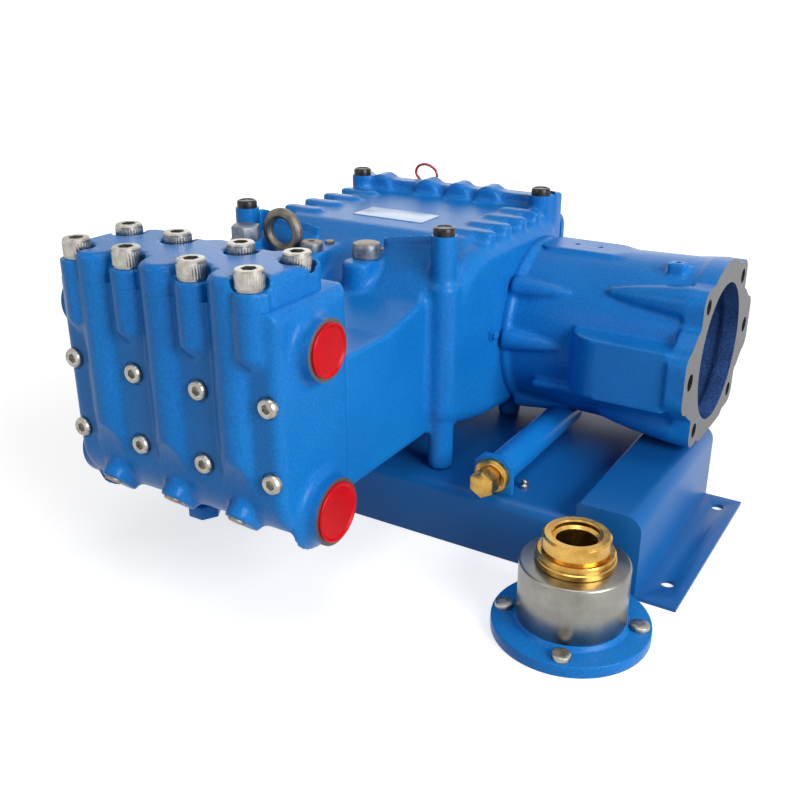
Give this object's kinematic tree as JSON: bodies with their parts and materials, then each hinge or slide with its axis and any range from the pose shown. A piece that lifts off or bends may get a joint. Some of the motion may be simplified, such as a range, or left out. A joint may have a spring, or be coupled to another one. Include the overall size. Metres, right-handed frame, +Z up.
{
  "type": "triplex plunger mud pump on a folded base",
  "caption": "Triplex plunger mud pump: cast fluid end, crankcase, motor bell, folded steel base, oil cooler and a loose flanged drive adapter.",
  "frame": {"origin": "middle of the four foot holes, at floor level", "axes": "+Z up, +X along the crankshaft towards the motor flange, +Y from the fluid end back to the crankcase"},
  "size_m": [0.563, 0.5151, 0.291],
  "materials": {
    "blue_paint": "gloss enamel on cast iron, lightly textured",
    "sheet_paint": "satin enamel on folded steel sheet",
    "black_plastic": "moulded black plug",
    "zinc_screws": "knurled zinc-plated screw heads",
    "aluminium_ring": "turned ring",
    "red_wire": "coated wire",
    "dark_steel": "dull forged steel",
    "worn_plug": "bare worn steel with rubbed paint",
    "pale_plate": "blank anodised plate",
    "red_plastic": "moulded protective cap",
    "brass": "turned brass",
    "zinc_sleeve": "zinc-plated turned steel"
  },
  "bodies": {
    "root": {"base_tray": "sheet_paint", "side_rail_right": "sheet_paint", "side_rail_left": "sheet_paint", "crankcase": "blue_paint", "corner_plug_front_right": "black_plastic", "corner_plug_front_left": "black_plastic", "corner_plug_rear_right": "black_plastic", "corner_plug_rear_left": "black_plastic", "rear_cover": "blue_paint", "rear_cover_screws": "zinc_screws", "oil_sight_glass": "aluminium_ring", "oil_drain_plug": "zinc_screws", "dipstick": "red_wire", "side_cover_left": "blue_paint", "side_cover_screws": "zinc_screws", "lifting_eye": "dark_steel", "oil_filler_cap": "worn_plug", "breather_plug": "worn_plug", "hex_plug": "blue_paint", "boss_bolts": "worn_plug", "name_plate": "pale_plate", "fluid_head": "blue_paint", "valve_cover": "blue_paint", "cover_screws_front": "zinc_screws", "cover_screws_rear": "zinc_screws", "head_screws_upper": "zinc_screws", "head_screws_lower": "zinc_screws", "discharge_cap_right": "red_plastic", "discharge_plug_left": "worn_plug", "suction_cap_right": "red_plastic", "suction_plug_left": "worn_plug", "cylinder_plugs": "worn_plug", "head_drain_plug": "blue_paint", "bell_housing": "blue_paint", "drive_hub": "dark_steel", "cooler_tube": "blue_paint", "cooler_end_flange": "blue_paint", "cooler_fitting": "brass", "tray_nipple": "zinc_screws", "adapter_flange": "blue_paint", "adapter_sleeve": "zinc_sleeve", "adapter_collar": "brass", "adapter_bolts": "zinc_screws"}
  },
  "joints": []
}
